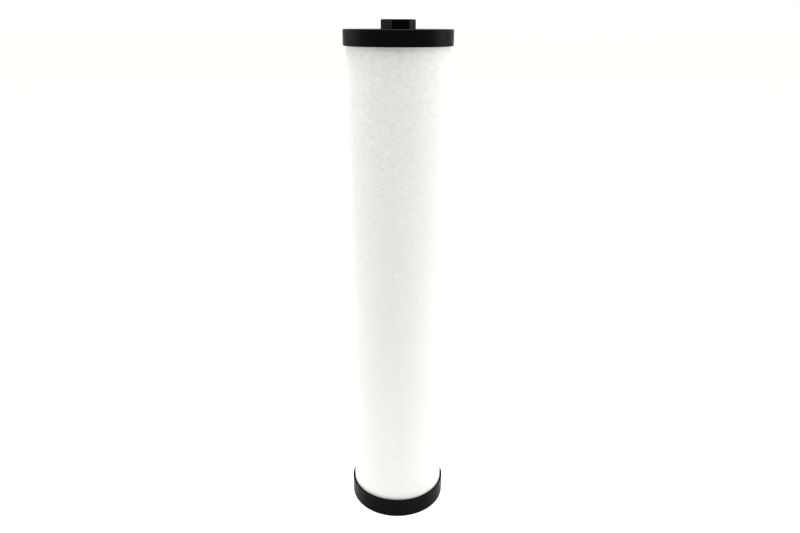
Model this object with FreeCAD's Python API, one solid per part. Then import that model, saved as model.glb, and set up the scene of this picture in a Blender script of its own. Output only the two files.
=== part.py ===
"""Replaceable water filter cartridge for a hand pump: a white felt tube between two black end caps.

Dirty water passes inwards through the felt sleeve, the pleated glass fibre membrane and the carbon block
into the perforated core tube, and leaves through the outlet bore in the bottom cap. The top cap is closed
and carries a hexagon boss. Millimetres, +Z up, origin at the centre of the bottom cap's base.
"""

import FreeCAD
import Part
import math
import os

# ---- Overall sizes -------------------------------------------------------------------------------------
cap_diameter = 50.8          # both end caps are the same 2 in size
body_length = 252.0          # base of the bottom cap to the flat top of the top cap
top_cap_height = 7.2
bottom_cap_height = 10.4

# ---- End caps ------------------------------------------------------------------------------------------
rim_wall = 1.0               # wall of the cup that holds the felt
plate_thickness = 2.4        # end plate of each cap
hex_across_flats = 14.0
hex_height = 4.2
hex_chamfer = 0.35
hex_roof = 1.8               # solid left over the core hole inside the hexagon
top_edge_radius = 0.5        # rounding where the top plate meets the rim
base_edge_radius = 0.8       # the same on the base
rim_edge_radius = 0.25       # rounding of the free edge of each rim
hub_wall = 1.6               # collar round the outlet bush, and its twin in the top cap
foot_land = 4.0              # width of the ring that the cartridge stands on
foot_relief = 0.6            # depth of the moulded relief inside that ring
foot_ribs = 6                # radial ribs across the relief
foot_rib_width = 1.6
potting_thickness = 1.6      # polyurethane that seals the media to each plate

# ---- Media, from the outside in ------------------------------------------------------------------------
slip = 0.1                   # clearance between one nested layer and the next
felt_thickness = 2.3
cage_wall = 1.3
pleat_membrane = 0.30
pleat_spacer = 0.20
pleat_gap = 0.02             # between the folded sheets
pleat_fold_radius = 0.48     # middle of the pack, at each fold
pleat_pitch = 2.15           # from root to root
fleece_thickness = 0.4
gasket_thickness = 2.0

# ---- Core tube and its plug ----------------------------------------------------------------------------
core_bore_radius = 5.0
core_wall = 1.1
core_hole_diameter = 2.4
core_hole_pitch = 9.5
plug_stem_length = 8.0
plug_flange_thickness = 2.0
plug_flange_overlap = 1.4    # how far the flange reaches past the core tube
plug_peg_radius = 3.9

# ---- Outlet bush: G 3/8 female pipe thread -------------------------------------------------------------
thread_major = 16.662
thread_pitch = 1.337
thread_flank = 27.5          # degrees each side
thread_length = 8.4          # from the bush's lower face to the end of the last turn
thread_relief = 1.6          # wider groove past the last turn
thread_pilot = 2.4           # plain bore past the groove, which centres the pump's spigot
thread_mouth = 0.2           # how far the lead-in opens past the major radius, at 45 degrees
outlet_recess = 0.4          # bush stands this far inside the base
bush_wall = 1.6              # outside the thread
bush_web = 1.0               # shoulder that stops the pump's spigot
bush_socket_depth = 4.5      # seat for the core tube
bush_flange_thickness = 1.5
seal_section = 1.78          # free section of each o-ring
seal_squeeze = 0.33
seal_play = 0.02             # gap left round each squeezed ring
washer_thickness = 1.5       # flat washer round the outlet
washer_width = 2.6
washer_margin = 1.0          # plastic left on each side of the washer's seat

# ---- Cages: long ribs and rings ------------------------------------------------------------------------
outer_cage_columns = 12
inner_cage_columns = 8
cage_rib_width = 2.2
cage_row_pitch = 13.0
cage_ring_height = 2.2
cage_plain_end = 6.0         # solid band at each end of a cage

# ---- Worked out from the values above ------------------------------------------------------------------
cap_radius = cap_diameter / 2
cup_radius = cap_radius - rim_wall
felt_outer = cup_radius - slip
felt_inner = felt_outer - felt_thickness
outer_cage_outer = felt_inner - slip
outer_cage_inner = outer_cage_outer - cage_wall
pleat_outer = outer_cage_inner - slip

seal_height = seal_section - seal_squeeze
seal_groove_width = 1.35 * seal_section
major_radius = thread_major / 2
minor_radius = major_radius - 0.640327 * thread_pitch  # Whitworth depth
bush_outer = major_radius + bush_wall
hub_bore = bush_outer + slip / 2
hub_outer = hub_bore + hub_wall
inner_cage_inner = hub_outer + slip
inner_cage_outer = inner_cage_inner + cage_wall
pleat_inner = inner_cage_outer + slip

core_outer = core_bore_radius + core_wall
inner_fleece_inner = core_outer + slip
carbon_inner = inner_fleece_inner + fleece_thickness
outer_fleece_outer = inner_cage_inner - slip
carbon_outer = outer_fleece_outer - fleece_thickness

top_face = body_length
top_plate_underside = top_face - plate_thickness
media_bottom = plate_thickness + potting_thickness
media_top = top_plate_underside - potting_thickness
web_bottom = outlet_recess + thread_length + thread_relief + thread_pilot
socket_bottom = web_bottom + bush_web
bush_top = socket_bottom + bush_socket_depth
hub_top = bush_top - bush_flange_thickness
washer_inner = hub_bore + washer_margin
washer_outer = washer_inner + washer_width
foot_hollow_inner = washer_outer + washer_margin
carbon_bottom = bush_top + gasket_thickness
plug_flange_top = top_plate_underside - (hub_top - plate_thickness) / 2
core_top = plug_flange_top - plug_flange_thickness
carbon_top = core_top - gasket_thickness


def tube(inner, outer, low, high):
    """A straight ring standing on z = low."""
    body = Part.makeCylinder(outer, high - low, FreeCAD.Vector(0, 0, low))
    hole = Part.makeCylinder(inner, high - low, FreeCAD.Vector(0, 0, low))
    return body.cut(hole)


def turned(profile):
    """A solid of revolution from a closed outline of (radius, z) corners."""
    corners = [FreeCAD.Vector(radius, 0, z) for radius, z in profile]
    face = Part.Face(Part.makePolygon(corners + corners[:1]))
    return face.revolve(FreeCAD.Vector(0, 0, 0), FreeCAD.Vector(0, 0, 1), 360)


def ring_edges(shape, radius, z):
    """The circular edges of that radius at that height."""
    found = []
    for edge in shape.Edges:
        curve = edge.Curve
        if not isinstance(curve, Part.Circle):
            continue
        if abs(curve.Radius - radius) < 1e-4 and abs(curve.Center.z - z) < 1e-4:
            found.append(edge)
    return found


def rounded(shape, radius, rings):
    """The shape with its circular edges at each (ring radius, z) rounded."""
    edges = [edge for ring_radius, z in rings for edge in ring_edges(shape, ring_radius, z)]
    return shape.makeFillet(radius, edges)


# ---- Top end cap: moulded black plastic cup with the hexagon boss ---------------------------------------
def hexagon_boss():
    corner_radius = hex_across_flats / math.sqrt(3)
    corners = []
    for k in range(6):
        angle = math.radians(60 * k)  # flats face along Y
        corners.append(FreeCAD.Vector(corner_radius * math.cos(angle), corner_radius * math.sin(angle), 0))
    face = Part.Face(Part.makePolygon(corners + corners[:1]))
    bottom = top_face - plate_thickness / 2
    face.translate(FreeCAD.Vector(0, 0, bottom))
    boss = face.extrude(FreeCAD.Vector(0, 0, plate_thickness / 2 + hex_height))
    top_edges = [edge for edge in boss.Edges if edge.BoundBox.ZMin > top_face + hex_height - 1e-4]
    return boss.makeChamfer(hex_chamfer, top_edges)


def top_end_cap():
    rim_low = top_face - top_cap_height
    cup = Part.makeCylinder(cap_radius, top_cap_height, FreeCAD.Vector(0, 0, rim_low))
    room = Part.makeCylinder(cup_radius, top_cap_height - plate_thickness, FreeCAD.Vector(0, 0, rim_low))
    cup = cup.cut(room)
    cup = rounded(cup, top_edge_radius, [(cap_radius, top_face)])
    cup = rounded(cup, rim_edge_radius, [(cap_radius, rim_low), (cup_radius, rim_low)])
    collar = tube(hub_bore, hub_outer, core_top, top_plate_underside)
    peg_hole_top = top_face + hex_height - hex_roof
    peg_hole = Part.makeCylinder(
        plug_peg_radius + slip, peg_hole_top - top_plate_underside, FreeCAD.Vector(0, 0, top_plate_underside)
    )
    return cup.fuse([collar, hexagon_boss()]).removeSplitter().cut(peg_hole)


# ---- Bottom end cap: deeper cup with the hub that holds the outlet bush ---------------------------------
def foot_hollow():
    """The shallow relief inside the foot ring, crossed by radial ribs."""
    hollow = tube(foot_hollow_inner, cap_radius - foot_land, 0, foot_relief)
    ribs = []
    for k in range(foot_ribs):
        corner = FreeCAD.Vector(0, -foot_rib_width / 2, 0)
        rib = Part.makeBox(cap_radius, foot_rib_width, foot_relief, corner)
        rib.rotate(FreeCAD.Vector(0, 0, 0), FreeCAD.Vector(0, 0, 1), (k + 0.5) * 360 / foot_ribs)
        ribs.append(rib)
    return hollow.cut(ribs)


def bottom_end_cap():
    cup = Part.makeCylinder(cap_radius, bottom_cap_height)
    room = Part.makeCylinder(
        cup_radius, bottom_cap_height - plate_thickness, FreeCAD.Vector(0, 0, plate_thickness)
    )
    cup = cup.cut(room)
    cup = rounded(cup, base_edge_radius, [(cap_radius, 0)])
    cup = rounded(cup, rim_edge_radius, [(cap_radius, bottom_cap_height), (cup_radius, bottom_cap_height)])
    hub = Part.makeCylinder(hub_outer, hub_top)
    bore = Part.makeCylinder(hub_bore, hub_top)
    washer_seat = tube(washer_inner, washer_outer, 0, washer_thickness)
    return cup.fuse(hub).removeSplitter().cut([bore, foot_hollow(), washer_seat])


# ---- Potting: polyurethane cast in each cup, which glues and seals the ends of the media -----------------
def bottom_potting():
    return tube(hub_outer, cup_radius, plate_thickness, media_bottom)


def top_potting():
    return tube(hub_outer, cup_radius, media_top, top_plate_underside)


# ---- Felt pre-filter sleeve and the two moulded cages ----------------------------------------------------
def felt_sleeve():
    return tube(felt_inner, felt_outer, media_bottom, media_top)


def cage(inner, outer, columns):
    """A tube with rows of windows, which leaves long ribs joined by rings."""
    body = tube(inner, outer, media_bottom, media_top)
    rows = int((media_top - media_bottom - 2 * cage_plain_end) / cage_row_pitch)
    first = (media_bottom + media_top) / 2 - rows * cage_row_pitch / 2
    window_height = cage_row_pitch - cage_ring_height
    window_width = 2 * math.pi * (inner + outer) / 2 / columns - cage_rib_width
    cutters = []
    for row in range(rows):
        low = first + row * cage_row_pitch + cage_ring_height / 2
        for column in range(columns // 2):  # each cutter opens two windows, one on each side
            cutter = Part.makeBox(
                2 * outer + 2, window_width, window_height, FreeCAD.Vector(-outer - 1, -window_width / 2, low)
            )
            cutter.rotate(FreeCAD.Vector(0, 0, 0), FreeCAD.Vector(0, 0, 1), column * 360 / columns)
            cutters.append(cutter)
    return body.cut(cutters)


def outer_cage():
    return cage(outer_cage_inner, outer_cage_outer, outer_cage_columns)


def inner_cage():
    return cage(inner_cage_inner, inner_cage_outer, inner_cage_columns)


# ---- Pleated pack: membrane between two spacers, all folded together -------------------------------------
pack_half = pleat_membrane / 2 + pleat_gap + pleat_spacer
tip_circle = pleat_outer - pleat_fold_radius - pack_half
root_circle = pleat_inner + pleat_fold_radius + pack_half
pleat_count = round(2 * math.pi * root_circle / pleat_pitch)


def on_circle(radius, angle):
    return FreeCAD.Vector(radius * math.cos(angle), radius * math.sin(angle), 0)


def straight_leg(number, side, tip_fold, root_fold):
    """Both ends of the leg on one side (-1 or 1) of a pleat, where it is tangent to its two folds."""
    half_step = math.pi / pleat_count
    tip = on_circle(tip_circle, 2 * number * half_step)
    root = on_circle(root_circle, (2 * number + side) * half_step)
    along = root - tip
    lean = math.degrees(math.asin((tip_fold + root_fold) / along.Length))
    across = FreeCAD.Rotation(FreeCAD.Vector(0, 0, 1), -side * (90 - lean)).multVec(along)
    across.normalize()
    return tip + across * tip_fold, root - across * root_fold


def folded_outline(offset):
    """Closed outline of the folded pack, moved outwards from its middle by offset."""
    half_step = math.pi / pleat_count
    tip_fold = pleat_fold_radius + offset
    root_fold = pleat_fold_radius - offset
    edges = []
    for k in range(pleat_count):
        before = straight_leg(k, -1, tip_fold, root_fold)
        after = straight_leg(k, 1, tip_fold, root_fold)
        following = straight_leg(k + 1, -1, tip_fold, root_fold)
        crest = on_circle(tip_circle + tip_fold, 2 * k * half_step)
        valley = on_circle(root_circle - root_fold, (2 * k + 1) * half_step)
        edges.append(Part.Arc(before[0], crest, after[0]).toShape())
        edges.append(Part.LineSegment(after[0], after[1]).toShape())
        edges.append(Part.Arc(after[1], valley, following[1]).toShape())
        edges.append(Part.LineSegment(following[1], following[0]).toShape())
    return Part.Wire(edges)


def folded_sheet(inner_offset, outer_offset):
    outer_wire = folded_outline(outer_offset)
    inner_wire = folded_outline(inner_offset)
    face = Part.Face(outer_wire).cut(Part.Face(inner_wire))
    face.translate(FreeCAD.Vector(0, 0, media_bottom))
    return face.extrude(FreeCAD.Vector(0, 0, media_top - media_bottom))


def pleated_membrane():
    return folded_sheet(-pleat_membrane / 2, pleat_membrane / 2)


def pleat_outer_spacer():
    return folded_sheet(pleat_membrane / 2 + pleat_gap, pack_half)


def pleat_inner_spacer():
    return folded_sheet(-pack_half, -pleat_membrane / 2 - pleat_gap)


# ---- Carbon block with a fleece inside and out, and a soft washer at each end ----------------------------
def carbon_block():
    return tube(carbon_inner, carbon_outer, carbon_bottom, carbon_top)


def carbon_outer_fleece():
    return tube(carbon_outer, outer_fleece_outer, carbon_bottom, carbon_top)


def carbon_inner_fleece():
    return tube(inner_fleece_inner, carbon_inner, carbon_bottom, carbon_top)


def carbon_bottom_gasket():
    return tube(inner_fleece_inner, outer_fleece_outer, bush_top, carbon_bottom)


def carbon_top_gasket():
    return tube(inner_fleece_inner, outer_fleece_outer, carbon_top, core_top)


# ---- Core tube, which collects the clean water, and the plug that shuts its top --------------------------
def core_tube():
    body = tube(core_bore_radius, core_outer, socket_bottom, core_top)
    holes_low = carbon_bottom + core_hole_pitch / 2
    holes_high = core_top - plug_stem_length - core_hole_pitch / 2
    rows = int((holes_high - holes_low) / core_hole_pitch) + 1
    drills = []
    for row in range(rows):
        z = holes_low + row * core_hole_pitch
        for k in range(2):  # each drill goes right through, and every other row is turned
            turn = math.radians(90 * k + 45 * (row % 2))
            way = FreeCAD.Vector(math.cos(turn), math.sin(turn), 0)
            start = FreeCAD.Vector(0, 0, z) - way * (core_outer + 1)
            drills.append(Part.makeCylinder(core_hole_diameter / 2, 2 * core_outer + 2, start, way))
    return body.cut(drills)


plug_groove_low = core_top - plug_stem_length / 2 - seal_groove_width / 2
plug_stem_radius = core_bore_radius - slip


def core_plug():
    groove_floor = core_bore_radius - seal_height
    return turned([
        (0, core_top - plug_stem_length),
        (plug_stem_radius, core_top - plug_stem_length),
        (plug_stem_radius, plug_groove_low),
        (groove_floor, plug_groove_low),
        (groove_floor, plug_groove_low + seal_groove_width),
        (plug_stem_radius, plug_groove_low + seal_groove_width),
        (plug_stem_radius, core_top),
        (core_outer + plug_flange_overlap, core_top),
        (core_outer + plug_flange_overlap, plug_flange_top),
        (plug_peg_radius, plug_flange_top),
        (plug_peg_radius, top_face + hex_height - hex_roof - slip),
        (0, top_face + hex_height - hex_roof - slip),
    ])


def squeezed_ring(inner, outer, groove_low):
    """An o-ring as it sits squeezed in its groove: a rounded rectangle turned about Z."""
    height = outer - inner - 2 * seal_play
    width = math.pi * (seal_section / 2) ** 2 / height
    low = groove_low + (seal_groove_width - width) / 2
    ring = tube(inner + seal_play, outer - seal_play, low, low + width)
    corner = min(height, width) * 0.42
    return ring.makeFillet(corner, [edge for edge in ring.Edges if isinstance(edge.Curve, Part.Circle)])


def core_plug_seal():
    return squeezed_ring(core_bore_radius - seal_height, core_bore_radius, plug_groove_low)


# ---- Outlet bush, bonded into the bottom cap's hub, with its o-ring and the washer outside ------------
thread_low = outlet_recess
thread_high = thread_low + thread_length
bush_seal_low = hub_top - seal_groove_width - 0.8
bush_seal_floor = hub_bore - seal_height


def thread_groove():
    """The helical groove of the female thread, run out past both ends of the thread."""
    height = major_radius - minor_radius
    inside = 0.1
    floor_half = thread_pitch / 12
    mouth_half = floor_half + (height + inside) * math.tan(math.radians(thread_flank))
    corners = [
        FreeCAD.Vector(minor_radius - inside, 0, -mouth_half),
        FreeCAD.Vector(major_radius, 0, -floor_half),
        FreeCAD.Vector(major_radius, 0, floor_half),
        FreeCAD.Vector(minor_radius - inside, 0, mouth_half),
    ]
    start = thread_low - thread_pitch
    finish = thread_high + thread_relief / 2
    spine = Part.makeHelix(thread_pitch, finish - start, minor_radius)
    groove = Part.Wire(spine).makePipeShell([Part.makePolygon(corners + corners[:1])], True, True)
    groove.translate(FreeCAD.Vector(0, 0, start))
    return groove


def quartered(solid):
    """The same solid with its faces divided at four radial planes, so no crest winds a whole turn."""
    box = solid.BoundBox
    reach = box.XLength + box.YLength
    first_plane = 20  # degrees, clear of where the helix starts
    quarters = []
    for number in range(4):
        corner = FreeCAD.Vector(0, 0, box.ZMin - 1)
        block = Part.makeBox(reach, reach, box.ZLength + 2, corner)
        block.rotate(FreeCAD.Vector(0, 0, 0), FreeCAD.Vector(0, 0, 1), first_plane + 90 * number)
        quarters.append(solid.common(block))
    return quarters[0].multiFuse(quarters[1:])


def outlet_bush():
    body = turned([
        (minor_radius, outlet_recess),
        (bush_outer, outlet_recess),
        (bush_outer, hub_top),
        (hub_outer, hub_top),
        (hub_outer, bush_top),
        (core_outer + slip / 2, bush_top),
        (core_outer + slip / 2, socket_bottom),
        (core_bore_radius, socket_bottom),
        (core_bore_radius, web_bottom),
        (minor_radius, web_bottom),
    ])
    relief = Part.makeCylinder(major_radius + 0.1, thread_relief, FreeCAD.Vector(0, 0, thread_high))
    groove = tube(bush_seal_floor, bush_outer + 1, bush_seal_low, bush_seal_low + seal_groove_width)
    mouth_radius = major_radius + thread_mouth
    lead_in_depth = mouth_radius - minor_radius
    lead_in = Part.makeCone(mouth_radius, minor_radius, lead_in_depth, FreeCAD.Vector(0, 0, thread_low))
    return quartered(body.cut([thread_groove(), relief, groove]).cut(lead_in))


def bush_seal():
    return squeezed_ring(bush_seal_floor, hub_bore, bush_seal_low)


def outlet_gasket():
    return tube(washer_inner, washer_outer, 0, washer_thickness)


makers = [
    top_end_cap, bottom_end_cap, top_potting, bottom_potting, felt_sleeve, outer_cage, pleat_outer_spacer,
    pleated_membrane, pleat_inner_spacer, inner_cage, carbon_outer_fleece, carbon_block, carbon_inner_fleece,
    carbon_top_gasket, carbon_bottom_gasket, core_tube, core_plug, core_plug_seal, outlet_bush,
    bush_seal, outlet_gasket,
]

os.makedirs("parts", exist_ok=True)
for make in makers:
    shape = make()
    print(make.__name__, "solids", len(shape.Solids), "valid", shape.isValid(), "mm3", round(shape.Volume))
    shape.exportStep("parts/" + make.__name__ + ".step")
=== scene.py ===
import bpy
import math
import numpy as np
from mathutils import Matrix, Vector


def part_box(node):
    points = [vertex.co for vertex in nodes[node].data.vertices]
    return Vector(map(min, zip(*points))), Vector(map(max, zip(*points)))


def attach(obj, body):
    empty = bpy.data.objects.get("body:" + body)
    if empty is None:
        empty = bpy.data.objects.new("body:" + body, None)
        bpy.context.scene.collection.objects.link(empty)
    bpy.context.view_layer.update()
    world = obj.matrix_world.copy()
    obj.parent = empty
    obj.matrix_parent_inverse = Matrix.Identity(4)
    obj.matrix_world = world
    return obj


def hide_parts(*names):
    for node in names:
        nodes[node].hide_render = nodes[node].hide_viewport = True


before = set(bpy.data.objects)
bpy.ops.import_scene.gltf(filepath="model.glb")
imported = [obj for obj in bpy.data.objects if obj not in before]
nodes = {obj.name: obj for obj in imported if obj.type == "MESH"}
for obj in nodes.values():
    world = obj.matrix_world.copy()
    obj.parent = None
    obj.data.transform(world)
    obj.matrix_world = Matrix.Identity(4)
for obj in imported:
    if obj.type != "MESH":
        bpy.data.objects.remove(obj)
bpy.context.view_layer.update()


# ---- Studio ----------------------------------------------------------------------------------------
# The camera stands level with the top cap and looks down at the cartridge. The room is white behind it
# and nearly dark on the camera's side. Softboxes light both sides of the tube, and its face from above,
# and a narrow one whitens the floor in front.
def linear(hex_code):
    """An sRGB hex colour as linear RGBA."""
    parts = [int(hex_code[i:i + 2], 16) / 255 for i in (1, 3, 5)]
    return [p / 12.92 if p <= 0.04045 else ((p + 0.055) / 1.055) ** 2.4 for p in parts] + [1.0]


def add_node(tree, kind, settings=None, links=None):
    """Adds a node. settings are its attributes or, by socket name or number, its input values."""
    node = tree.nodes.new(kind)
    for key, value in (settings or {}).items():
        if isinstance(key, str) and hasattr(node, key):
            setattr(node, key, value)
        else:
            node.inputs[key].default_value = value
    for key, source in (links or {}).items():
        tree.links.new(source, node.inputs[key])
    return node


def remapped(tree, value, low, high, to_low=0.0, to_high=1.0):
    """A value whose range low to high is stretched to the range to_low to to_high."""
    return add_node(
        tree, "ShaderNodeMapRange",
        {"From Min": low, "From Max": high, "To Min": to_low, "To Max": to_high},
        {"Value": value},
    ).outputs["Result"]


def new_material(name):
    """An empty material and its node tree."""
    material = bpy.data.materials.new(name)
    material.use_nodes = True
    material.node_tree.nodes.clear()
    return material, material.node_tree


def finish_material(tree, settings, links=None):
    """Ends a material in a principled shader."""
    shader = add_node(tree, "ShaderNodeBsdfPrincipled", settings, links)
    add_node(tree, "ShaderNodeOutputMaterial", links={"Surface": shader.outputs["BSDF"]})


camera_turn = math.radians(-8.3)        # round the cartridge's axis, away from the hexagon's flat
camera_away = 0.3213
camera_aside = 0.0011
camera_height = 0.2545
camera_down = math.radians(20.1)
camera_roll = 0.003
sensor_mm = 36
lens_mm = 29.93

camera = bpy.data.objects.new("camera", bpy.data.cameras.new("camera"))
bpy.context.scene.collection.objects.link(camera)
bpy.context.scene.camera = camera
camera.data.sensor_width = sensor_mm
camera.data.lens = lens_mm
camera.data.clip_start = 0.01
around = Matrix.Rotation(camera_turn, 4, "Z")
stand = Matrix.Translation((camera_aside, -camera_away, camera_height))
tilt = Matrix.Rotation(math.pi / 2 - camera_down, 4, "X")
camera.matrix_world = around @ stand @ tilt @ Matrix.Rotation(camera_roll, 4, "Z")

bpy.context.scene.view_settings.view_transform = "Standard"

room_front = 0.08       # brightness of the room behind the camera
room_back = 1.08        # brightness of the room behind the cartridge
darkest_y = -0.85       # the y of a direction at which the room is darkest
whitest_y = 0.4         # and the y at which it is whitest
ceiling = 1.08          # how much brighter it is straight overhead
ceiling_falloff = 4.0   # the higher, the smaller the bright part of the ceiling

world = bpy.data.worlds.new("white_room")
bpy.context.scene.world = world
world.use_nodes = True
world.node_tree.nodes.clear()
tree = world.node_tree
direction = add_node(tree, "ShaderNodeTexCoord")
split = add_node(tree, "ShaderNodeSeparateXYZ", links={"Vector": direction.outputs["Generated"]})
walls = remapped(tree, split.outputs["Y"], darkest_y, whitest_y, room_front, room_back)
upward = add_node(
    tree, "ShaderNodeMath", {"operation": "POWER", "use_clamp": True, 1: ceiling_falloff},
    {0: split.outputs["Z"]},
)
strength = add_node(
    tree, "ShaderNodeMath", {"operation": "MULTIPLY_ADD", 1: ceiling}, {0: upward.outputs[0], 2: walls}
)
sky = add_node(
    tree, "ShaderNodeBackground", {"Color": linear("#FFFFFE")}, {"Strength": strength.outputs[0]}
)
add_node(tree, "ShaderNodeOutputWorld", links={"Surface": sky.outputs["Background"]})


def softbox(name, position, size, watts, target, spread=math.pi):
    """A rectangular lamp. position and target turn with the camera."""
    light = bpy.data.lights.new(name, "AREA")
    light.shape = "RECTANGLE"
    light.size, light.size_y = size
    light.energy = watts
    light.spread = spread
    aim = around @ (Vector(target) - Vector(position))
    holder = bpy.data.objects.new(name, light)
    holder.location = around @ Vector(position)
    holder.rotation_euler = aim.to_track_quat("-Z", "Y").to_euler()
    bpy.context.scene.collection.objects.link(holder)


upper_tube = (0, 0, 0.2)
floor_in_front = (0, -0.10, 0)
pool_spread = math.radians(36)
softbox("left_softbox", (-0.56, 0.12, 0.36), (0.36, 0.30), 1.4, upper_tube)
softbox("right_softbox", (0.56, 0.04, 0.36), (0.36, 0.30), 2.1, upper_tube)
softbox("key_softbox", (0.06, -0.40, 1.05), (0.45, 0.30), 4.9, upper_tube)
softbox("overhead_softbox", (0.0, -0.10, 0.9), (0.20, 0.20), 0.42, floor_in_front, pool_spread)

# The white paper sweep that the cartridge stands on, lit so far that it shows no edge.
far = 20
floor_mesh = bpy.data.meshes.new("floor")
floor_mesh.from_pydata(
    [(-far, -far, 0), (far, -far, 0), (far, far, 0), (-far, far, 0)], [], [(0, 1, 2, 3)]
)
floor = bpy.data.objects.new("floor", floor_mesh)
bpy.context.scene.collection.objects.link(floor)
paper, tree = new_material("white_paper_sweep")
finish_material(
    tree, {"Base Color": linear("#F7F7F5"), "Roughness": 0.9, "Specular IOR Level": 0.2}
)
floor_mesh.materials.append(paper)


# ---- End caps --------------------------------------------------------------------------------------
# Two cups injection moulded in black polypropylene. The mould's fine spark-eroded grain leaves them
# satin. The hexagon is one with the top cap.
def piece_place(tree):
    """Where a point is on its piece, in metres."""
    return add_node(tree, "ShaderNodeTexCoord").outputs["Object"]


def noise(tree, where, scale, detail, roughness=0.5, distortion=0.0, dimensions="3D"):
    """Cloudy noise. scale is how many of its patches fit into one unit of where."""
    return add_node(
        tree, "ShaderNodeTexNoise",
        {
            "noise_dimensions": dimensions, "Scale": scale, "Detail": detail,
            "Roughness": roughness, "Distortion": distortion,
        },
        {"Vector": where},
    ).outputs["Fac"]


def mixed(tree, share, low, high):
    """A blend of two colours. Each is linear RGBA or the output of another node."""
    low_socket, high_socket, result = 6, 7, 2      # the sockets of a mix node that carry colours
    mix = add_node(tree, "ShaderNodeMix", {"data_type": "RGBA"}, {0: share})
    for socket, colour in ((low_socket, low), (high_socket, high)):
        if isinstance(colour, bpy.types.NodeSocket):
            tree.links.new(colour, mix.inputs[socket])
        else:
            mix.inputs[socket].default_value = colour
    return mix.outputs[result]


def bumped(tree, height, depth_mm, strength=1.0, sunken=False):
    """A normal that makes the high places of height stand out, or sink in."""
    return add_node(
        tree, "ShaderNodeBump",
        {"Strength": strength, "Distance": depth_mm / 1000, "invert": sunken},
        {"Height": height},
    ).outputs["Normal"]


def moulded_plastic(name, colour, roughness, grain_mm, grain_depth_mm, extra=None):
    """Moulded plastic: a nearly even colour, slow changes of gloss and the mould's grain."""
    flow_mm = 14.0          # size of the patches where the melt cooled alike
    lightest = 1.35         # how much lighter than its colour it gets
    material, tree = new_material(name)
    where = piece_place(tree)
    flow = noise(tree, where, 1000 / flow_mm, 3.0, 0.55)
    gloss = remapped(tree, flow, 0.3, 0.7, roughness - 0.05, roughness + 0.06)
    lighter = [lightest * c for c in linear(colour)[:3]] + [1.0]
    shade = mixed(tree, flow, linear(colour), lighter)
    grain = noise(tree, where, 1000 / grain_mm, 2.0, 0.6)
    finish_material(
        tree, {"IOR": 1.49, **(extra or {})},
        {"Base Color": shade, "Roughness": gloss, "Normal": bumped(tree, grain, grain_depth_mm)},
    )
    return material


def dress(names, material):
    """Puts a material on CAD nodes."""
    for name in names:
        mesh = nodes[name].data
        mesh.materials.clear()
        mesh.materials.append(material)


cap_black = moulded_plastic(
    "black_moulded_polypropylene", "#060607", 0.34, 0.35, 0.006, {"Specular IOR Level": 0.02}
)
dress(["top_end_cap", "bottom_end_cap"], cap_black)


# ---- Felt sleeve -----------------------------------------------------------------------------------
# The outside of the cartridge: a strip of white polyester needle felt wrapped round the outer cage and
# heat-sealed edge to edge at the back. Its ends are glued into the caps' cups.
felt_low, felt_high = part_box("felt_sleeve")
felt_radius = felt_high.x
felt_height = felt_high.z - felt_low.z
felt_thickness = 0.0023
felt_girth = 2 * math.pi * felt_radius
face_setback = 0.00009                   # how far inside its radius the felt's unmarked face lies
fibre_setback = 0.00006                  # and how far inside it the loose fibres' ends lie
cell = 0.0006                            # spacing of the surface mesh
fine = cell / 2                          # spacing of the height map that shapes it
seam_turn = math.radians(90)             # the seam is at the back
rng = np.random.default_rng(52)

columns = int(felt_girth / cell)
rows = int(felt_height / cell)
map_shape = (rows * 2 + 1, columns * 2)
height_map = np.zeros(map_shape)         # millimetres, outwards; it wraps round


def press_marks(count, length_mm, width_mm, depth_mm, spread=math.pi / 2):
    """Adds short straight ridges and dents at random, turned by up to spread from the horizontal."""
    step = fine * 1000
    reach = int(math.ceil((length_mm[1] / 2 + 2 * width_mm) / step))
    up, across = np.mgrid[-reach:reach + 1, -reach:reach + 1] * step
    for _ in range(count):
        row = rng.integers(0, map_shape[0])
        column = rng.integers(0, map_shape[1])
        angle = spread * rng.uniform(-1, 1)
        length = rng.uniform(*length_mm)
        depth = rng.uniform(*depth_mm)
        along = across * math.cos(angle) + up * math.sin(angle)
        aside = up * math.cos(angle) - across * math.sin(angle)
        past_end = np.maximum(np.abs(along) - length / 2, 0)
        mark = depth * np.exp(-(aside ** 2 + past_end ** 2) / (2 * (width_mm / 2) ** 2))
        top, bottom = max(row - reach, 0), min(row + reach + 1, map_shape[0])
        places = (column + np.arange(-reach, reach + 1)) % map_shape[1]
        height_map[top:bottom, places] += mark[top - row + reach:bottom - row + reach]


def slow_waves(count, shortest_mm, depth_mm):
    """Adds a thickness that wanders slowly, from waves that close round the tube."""
    up = np.arange(map_shape[0])[:, None] * fine * 1000
    turn = np.arange(map_shape[1])[None, :] / map_shape[1] * 2 * math.pi
    most_round = int(felt_girth * 1000 / shortest_mm)
    for _ in range(count):
        round_it = rng.integers(0, most_round)
        length = rng.uniform(shortest_mm, 6 * shortest_mm)
        phase = rng.uniform(0, 2 * math.pi)
        height_map[:] += depth_mm * np.sin(up / length * 2 * math.pi + round_it * turn + phase)


slow_waves(26, 14.0, 0.014)
press_marks(70, (5.0, 16.0), 0.9, (-0.06, -0.02), 0.35)   # creases from winding it on
press_marks(9000, (1.6, 4.5), 0.50, (-0.040, 0.045))      # bundles of fibre
press_marks(800, (2.0, 5.0), 0.60, (-0.20, 0.08), 0.6)    # thicker bundles, mostly level
press_marks(1400, (0.1, 0.4), 0.55, (-0.06, -0.02))       # where the barbed needles went in

# The face is roughest near the top and smoother towards the bottom cap.
smoothest = 0.22                         # share of the roughness that is left at the bottom
height_share = np.linspace(0, 1, map_shape[0])[:, None]
height_map *= smoothest + (1 - smoothest) * height_share ** 1.4

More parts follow.
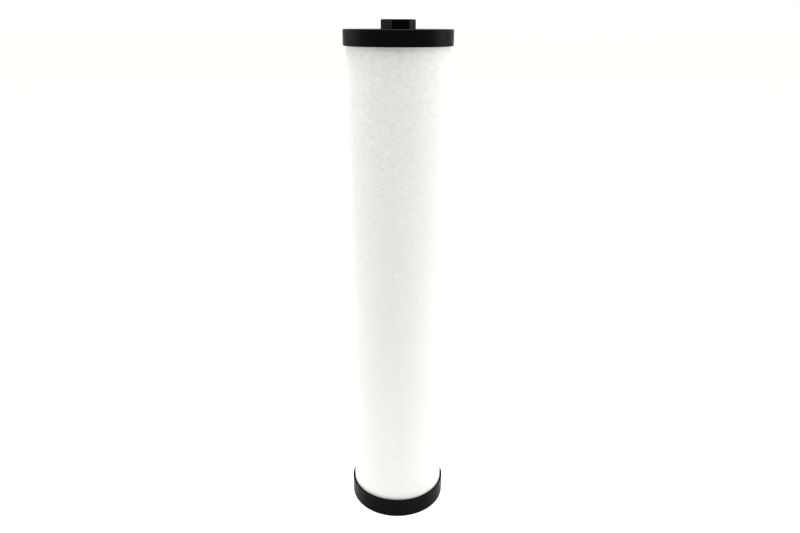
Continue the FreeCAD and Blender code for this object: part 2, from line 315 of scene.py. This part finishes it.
# The seam: a flat heat-sealed line with a row of weld dashes along it.
seam_half_mm = 1.6
seam_depth_mm = 0.34
seam_ironed = 0.75                       # share of the texture that sealing takes away
dash_pitch_mm = 3.0
dash_half_mm = 1.1
dash_depth_mm = 0.14
dash_slant = 1.1                         # radians of phase for each mm from the seam
strip_turn = np.arange(map_shape[1]) / map_shape[1] * 2 * math.pi
turn_off = np.abs((strip_turn - seam_turn + math.pi) % (2 * math.pi) - math.pi)
from_seam = turn_off * felt_radius * 1000
pressed = np.clip(1.5 - from_seam / seam_half_mm, 0, 1)[None, :]
up_mm = np.arange(map_shape[0])[:, None] * fine * 1000
wave = np.sin(up_mm / dash_pitch_mm * 2 * math.pi + from_seam[None, :] * dash_slant)
dash = (wave > 0.1) * (from_seam < dash_half_mm)[None, :]
height_map[:] = (
    height_map * (1 - seam_ironed * pressed) - seam_depth_mm * pressed - dash_depth_mm * dash
)

# Nothing stands out further than this, and less where the cups hold the felt's ends.
highest_mm = 0.09
squeezed_mm = 0.05
squeeze_blend_mm = 1.5
bottom_cup_height = 0.0104               # from the cartridge's foot to the bottom cap's rim
top_cup_depth = 0.0032                   # from the potting in the top cap to its rim
low_cup = (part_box("bottom_end_cap")[0].z + bottom_cup_height - felt_low.z) * 1000
high_cup = (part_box("top_potting")[0].z - top_cup_depth - felt_low.z) * 1000
past_rim = np.maximum(low_cup - up_mm, up_mm - high_cup)
in_cup = np.clip(past_rim / squeeze_blend_mm + 0.5, 0, 1)
height_map[:] = np.minimum(height_map, highest_mm - squeezed_mm * in_cup)

# The surface: rings from the bottom up, closed by one more ring inside at each end.
ring_angle = np.arange(columns) / columns * 2 * math.pi
ring_height = felt_low.z + np.arange(rows + 1) / rows * felt_height
outside = felt_radius - face_setback + height_map[::2, ::2] / 1000
inside = np.full((1, columns), felt_radius - felt_thickness)
radii = np.vstack([inside, outside, inside])
levels = np.concatenate([ring_height[:1], ring_height, ring_height[-1:]])
points = np.empty((len(levels), columns, 3))
points[:, :, 0] = radii * np.cos(ring_angle)
points[:, :, 1] = radii * np.sin(ring_angle)
points[:, :, 2] = levels[:, None]
band = np.arange(len(levels))[:, None] * columns
here = band + np.arange(columns)
beside = band + (np.arange(columns) + 1) % columns
above, above_beside = np.roll(here, -1, axis=0), np.roll(beside, -1, axis=0)
faces = np.stack([here, beside, above_beside, above], axis=2).reshape(-1, 4)

felt_mesh = bpy.data.meshes.new("felt_wrap")
felt_mesh.from_pydata(points.reshape(-1, 3).tolist(), [], faces.tolist())
felt_mesh.polygons.foreach_set("use_smooth", [True] * len(faces))

# The strip map lays the felt flat, with its two long edges at the seam.
just_over_one = 1.0000001                # so that a full turn stays 1 and doesn't become 0
strip_map = felt_mesh.uv_layers.new(name="strip")
turn_share = np.stack([np.arange(columns), np.arange(columns) + 1], axis=0) / columns
turn_share = (turn_share + 1 - seam_turn / (2 * math.pi)) % just_over_one
turn_share[1] = np.where(turn_share[1] < turn_share[0], turn_share[1] + 1, turn_share[1])
level_share = (levels - felt_low.z) / felt_height
corners = np.empty((len(levels), columns, 4, 2))
corners[:, :, 0, 0] = corners[:, :, 3, 0] = turn_share[0]
corners[:, :, 1, 0] = corners[:, :, 2, 0] = turn_share[1]
corners[:, :, 0, 1] = corners[:, :, 1, 1] = level_share[:, None]
corners[:, :, 2, 1] = corners[:, :, 3, 1] = np.roll(level_share, -1)[:, None]
strip_map.data.foreach_set("uv", corners.reshape(-1).astype(np.float32))
felt = bpy.data.objects.new("felt_wrap", felt_mesh)
bpy.context.scene.collection.objects.link(felt)


def fibre_layer(tree, where, lean, length_mm, width_mm):
    """A web of fibres that all lean one way: noise drawn out along them."""
    turned = add_node(
        tree, "ShaderNodeMapping", {"vector_type": "POINT", "Rotation": (0, 0, lean)},
        {"Vector": where},
    )
    drawn = add_node(
        tree, "ShaderNodeMapping", {"Scale": (1 / length_mm, 1 / width_mm, 1)},
        {"Vector": turned.outputs["Vector"]},
    )
    return noise(tree, drawn.outputs["Vector"], 1.0, 1.5, distortion=0.25, dimensions="2D")


def most_of(tree, values):
    """The highest of several values."""
    top = values[0]
    for value in values[1:]:
        top = add_node(tree, "ShaderNodeMath", {"operation": "MAXIMUM"}, {0: top, 1: value}).outputs[0]
    return top


# White polyester felt. Its crossing fibres show as faint short streaks with painted shade between them,
# and a sheen softens its edges. The fibres are drawn 0.4 mm wide, which is as fine as shows.
felt_white, tree = new_material("white_needle_felt")
strip = add_node(tree, "ShaderNodeUVMap", {"uv_map": "strip"}).outputs["UV"]
in_mm = add_node(
    tree, "ShaderNodeMapping", {"Scale": (felt_girth * 1000, felt_height * 1000, 1)},
    {"Vector": strip},
).outputs["Vector"]
fibre_length_mm = 2.8
fibre_width_mm = 0.40
leans = [math.radians(a) for a in (6, 38, -33, 74, -68)]
layers = [fibre_layer(tree, in_mm, lean, fibre_length_mm, fibre_width_mm) for lean in leans]
ridges = remapped(tree, most_of(tree, layers), 0.52, 0.80)
# Painted shade: the felt is painted a little darker where the fibre ridges are low.
fibre_tone_and_gap_shade = mixed(tree, ridges, linear("#C5C5C3"), linear("#C9C9C7"))

# Painted shade: the hollows between the tufts are painted greyer. They lie mostly level and fade
# downwards.
tuft_length_mm = 3.0
tuft_height_mm = 1.3
tuft_size = add_node(
    tree, "ShaderNodeMapping", {"Scale": (1 / tuft_length_mm, 1 / tuft_height_mm, 1)},
    {"Vector": in_mm},
)
tufts = noise(tree, tuft_size.outputs["Vector"], 1.0, 2.0, 0.55, dimensions="2D")
painted_hollow_shade = remapped(tree, tufts, 0.44, 0.72)
up_strip = add_node(tree, "ShaderNodeSeparateXYZ", links={"Vector": strip})
# The painted shade of the hollows grows towards the top of the felt.
shade_towards_top = add_node(
    tree, "ShaderNodeMath", {"operation": "POWER", 1: 1.8}, {0: up_strip.outputs["Y"]}
)
painted_shade_share = add_node(
    tree, "ShaderNodeMath", {"operation": "MULTIPLY"}, {0: painted_hollow_shade, 1: shade_towards_top.outputs[0]}
)
# The felt's colour with the painted shade of the hollows mixed in.
felt_tone_and_shade = mixed(tree, painted_shade_share.outputs[0], fibre_tone_and_gap_shade, linear("#BEBEBC"))
finish_material(
    tree,
    {
        "Roughness": 0.95, "IOR": 1.45, "Specular IOR Level": 0.2,
        "Sheen Weight": 0.5, "Sheen Roughness": 0.45, "Sheen Tint": linear("#FFFFFF"),
    },
    {"Base Color": felt_tone_and_shade, "Normal": bumped(tree, ridges, 0.03)},
)
felt_mesh.materials.append(felt_white)
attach(felt, "root")
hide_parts("felt_sleeve")


# Fibres that have worked loose: each is a thin bent thread that lies on the felt and lifts a little.
def loose_fibres(name, count, length_mm, thick_mm, lift_mm):
    joints = 6
    bend_spread = 0.30                   # radians at each joint
    steepest = 0.9                       # radians from the horizontal, at a fibre's start
    highest = felt_high.z - 0.006
    drop = felt_height - 0.014           # from the highest start to the lowest
    upwards = 1.7                        # the higher, the more of them lie near the top
    spots, quads = [], []
    for _ in range(count):
        turn = rng.uniform(0, 2 * math.pi)
        z = highest - drop * rng.uniform() ** upwards
        heading = rng.uniform(-steepest, steepest) + (math.pi if rng.random() < 0.5 else 0)
        length = rng.uniform(*length_mm) / 1000
        lift = rng.uniform(*lift_mm) / 1000
        bend = rng.normal(0, bend_spread, joints)
        first = len(spots)
        for k in range(joints + 1):
            share = k / joints
            lifted = lift * math.sin(math.pi * min(share * 1.1, 1))
            radius = felt_radius - fibre_setback + lifted + thick_mm / 2000
            out = Vector((math.cos(turn), math.sin(turn), 0))
            level = Vector((-math.sin(turn), math.cos(turn), 0))
            side = level * -math.sin(heading) + Vector((0, 0, math.cos(heading)))
            middle = out * radius + Vector((0, 0, z))
            half = thick_mm / 2000 * (1 - 0.5 * abs(2 * share - 1))
            for corner in range(3):
                angle = corner * 2 * math.pi / 3
                spots.append(middle + (out * math.cos(angle) + side * math.sin(angle)) * half)
            if k < joints:
                heading += bend[k]
                turn += math.cos(heading) * length / joints / felt_radius
                z += math.sin(heading) * length / joints
                for corner in range(3):
                    a, b = first + 3 * k + corner, first + 3 * k + (corner + 1) % 3
                    quads.append((a, b, b + 3, a + 3))
        quads.append((first + 2, first + 1, first))
        last = first + 3 * joints
        quads.append((last, last + 1, last + 2))
    mesh = bpy.data.meshes.new(name)
    mesh.from_pydata(spots, [], quads)
    thing = bpy.data.objects.new(name, mesh)
    bpy.context.scene.collection.objects.link(thing)
    return thing


fibre_white, tree = new_material("loose_polyester_fibre")
cloud = noise(tree, piece_place(tree), 1000 / 3.0, 1.0)
tone = mixed(tree, cloud, linear("#E4E3DF"), linear("#F4F3F1"))
finish_material(tree, {"Roughness": 0.6, "IOR": 1.57, "Sheen Weight": 0.3}, {"Base Color": tone})
lint = loose_fibres("felt_loose_fibres", 1100, (1.6, 4.0), 0.07, (0.03, 0.22))
lint.data.materials.append(fibre_white)
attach(lint, "root")


# ---- Potting, cages and core -----------------------------------------------------------------------
# Inside, white and milky mouldings hold the media: two lattice cages, the perforated core tube and its
# plug. Honey-coloured polyurethane, cast in each cup, seals the ends.
cage_milky = moulded_plastic(
    "natural_polypropylene", "#DADDD9", 0.34, 0.5, 0.004,
    {"Subsurface Weight": 0.2, "Subsurface Radius": (0.002, 0.002, 0.0016)},
)
dress(["outer_cage", "inner_cage"], cage_milky)
core_white = moulded_plastic("white_polypropylene", "#E6E5E0", 0.38, 0.5, 0.004)
dress(["core_tube", "core_plug"], core_white)

bubble_spacing_mm = 1.6
resin, tree = new_material("cast_polyurethane")
bubbles = add_node(
    tree, "ShaderNodeTexVoronoi",
    {"feature": "F1", "Scale": 1000 / bubble_spacing_mm, "Randomness": 1.0},
    {"Vector": piece_place(tree)},
)
tiny = remapped(tree, bubbles.outputs["Distance"], 0.10, 0.22, 1.0, 0.0)
tone = mixed(tree, tiny, linear("#C9B37F"), linear("#E2D3A8"))
finish_material(
    tree,
    {
        "Roughness": 0.22, "IOR": 1.5,
        "Subsurface Weight": 0.4, "Subsurface Radius": (0.003, 0.002, 0.001),
    },
    {"Base Color": tone, "Normal": bumped(tree, tiny, 0.1, 0.6, sunken=True)},
)
dress(["top_potting", "bottom_potting"], resin)


# ---- Pleats and fleeces ----------------------------------------------------------------------------
# A glass fibre paper folded between two spun-bonded spacers, and a thin fleece on both sides of the
# carbon. All are matt white webs that differ in tint, in sheen and in the size of their fibres.
def white_web(name, dark, light, fibre_mm, depth_mm, sheen):
    material, tree = new_material(name)
    drawn = add_node(
        tree, "ShaderNodeMapping", {"Scale": (1.0, 1.0, 0.35)}, {"Vector": piece_place(tree)}
    )
    fibres = noise(tree, drawn.outputs["Vector"], 1000 / fibre_mm, 4.0, 0.7, 0.8)
    tone = mixed(tree, fibres, linear(dark), linear(light))
    finish_material(
        tree, {"Roughness": 0.9, "IOR": 1.45, "Sheen Weight": sheen},
        {"Base Color": tone, "Normal": bumped(tree, fibres, depth_mm, 0.8)},
    )
    return material


spun_web = white_web("spun_bonded_polypropylene", "#D6D9D9", "#F0F1F1", 0.7, 0.08, 0.2)
dress(["pleat_outer_spacer", "pleat_inner_spacer"], spun_web)
glass_paper = white_web("glass_fibre_paper", "#E2E1DA", "#F2F1EB", 0.4, 0.03, 0.0)
dress(["pleated_membrane"], glass_paper)
thin_fleece = white_web("thin_polyester_fleece", "#CFCFCB", "#EAEAE6", 0.9, 0.10, 0.3)
dress(["carbon_outer_fleece", "carbon_inner_fleece"], thin_fleece)


# ---- Carbon block ----------------------------------------------------------------------------------
# Activated carbon grains of about 0.5 mm, sintered into a tube. It is matt black, with a few grains
# that catch the light.
carbon_grain_mm = 0.5
carbon, tree = new_material("sintered_activated_carbon")
grains = add_node(
    tree, "ShaderNodeTexVoronoi", {"feature": "F1", "Scale": 1000 / carbon_grain_mm},
    {"Vector": piece_place(tree)},
)
draw = add_node(tree, "ShaderNodeSeparateColor", links={"Color": grains.outputs["Color"]})
tone = mixed(tree, draw.outputs["Red"], linear("#0E0E0F"), linear("#2B2B2D"))
gloss = remapped(tree, draw.outputs["Green"], 0.8, 1.0, 0.85, 0.4)
bump = bumped(tree, grains.outputs["Distance"], 0.2, 0.9, sunken=True)
finish_material(tree, {"IOR": 1.6}, {"Base Color": tone, "Roughness": gloss, "Normal": bump})
dress(["carbon_block"], carbon)


# ---- Washers and o-rings ---------------------------------------------------------------------------
# Washers punched from black EPDM sheet, matt with a little white bloom, and moulded nitrile o-rings,
# which are smoother.
def black_rubber(name, colour, bloom, roughness, grain_mm):
    bloom_mm = 5.0          # size of the patches of bloom
    material, tree = new_material(name)
    where = piece_place(tree)
    dust = noise(tree, where, 1000 / bloom_mm, 5.0, 0.65)
    tone = mixed(tree, remapped(tree, dust, 0.45, 0.8), linear(colour), linear(bloom))
    grain = noise(tree, where, 1000 / grain_mm, 2.0, 0.6)
    finish_material(
        tree, {"Roughness": roughness, "IOR": 1.52},
        {"Base Color": tone, "Normal": bumped(tree, grain, 0.03)},
    )
    return material


epdm = black_rubber("punched_epdm_sheet", "#19191A", "#333332", 0.72, 0.4)
dress(["outlet_gasket", "carbon_top_gasket", "carbon_bottom_gasket"], epdm)
nitrile = black_rubber("moulded_nitrile", "#101011", "#1C1C1D", 0.42, 0.3)
dress(["bush_seal", "core_plug_seal"], nitrile)


# ---- Outlet bush -----------------------------------------------------------------------------------
# Turned brass with a pipe thread, bonded into the bottom cap. The lathe leaves fine rings round its
# axis, and the metal has dulled unevenly in the damp.
ring_spacing_mm = 0.25
tarnish_mm = 4.0
brass, tree = new_material("turned_brass")
where = piece_place(tree)
spot = add_node(tree, "ShaderNodeSeparateXYZ", links={"Vector": where})
flat = add_node(
    tree, "ShaderNodeCombineXYZ", links={"X": spot.outputs["X"], "Y": spot.outputs["Y"]}
)
from_axis = add_node(
    tree, "ShaderNodeVectorMath", {"operation": "LENGTH"}, {0: flat.outputs["Vector"]}
)
rings = add_node(
    tree, "ShaderNodeCombineXYZ", links={"X": from_axis.outputs["Value"], "Y": spot.outputs["Z"]}
)
tool_marks = noise(tree, rings.outputs["Vector"], 1000 / ring_spacing_mm, 2.0, dimensions="2D")
tarnish = noise(tree, where, 1000 / tarnish_mm, 4.0, 0.6)
tone = mixed(tree, tarnish, linear("#D9BC78"), linear("#B08D4C"))
gloss = remapped(tree, tarnish, 0.3, 0.75, 0.20, 0.42)
bump = bumped(tree, tool_marks, 0.02, 0.7)
finish_material(tree, {"Metallic": 1.0}, {"Base Color": tone, "Roughness": gloss, "Normal": bump})
dress(["outlet_bush"], brass)
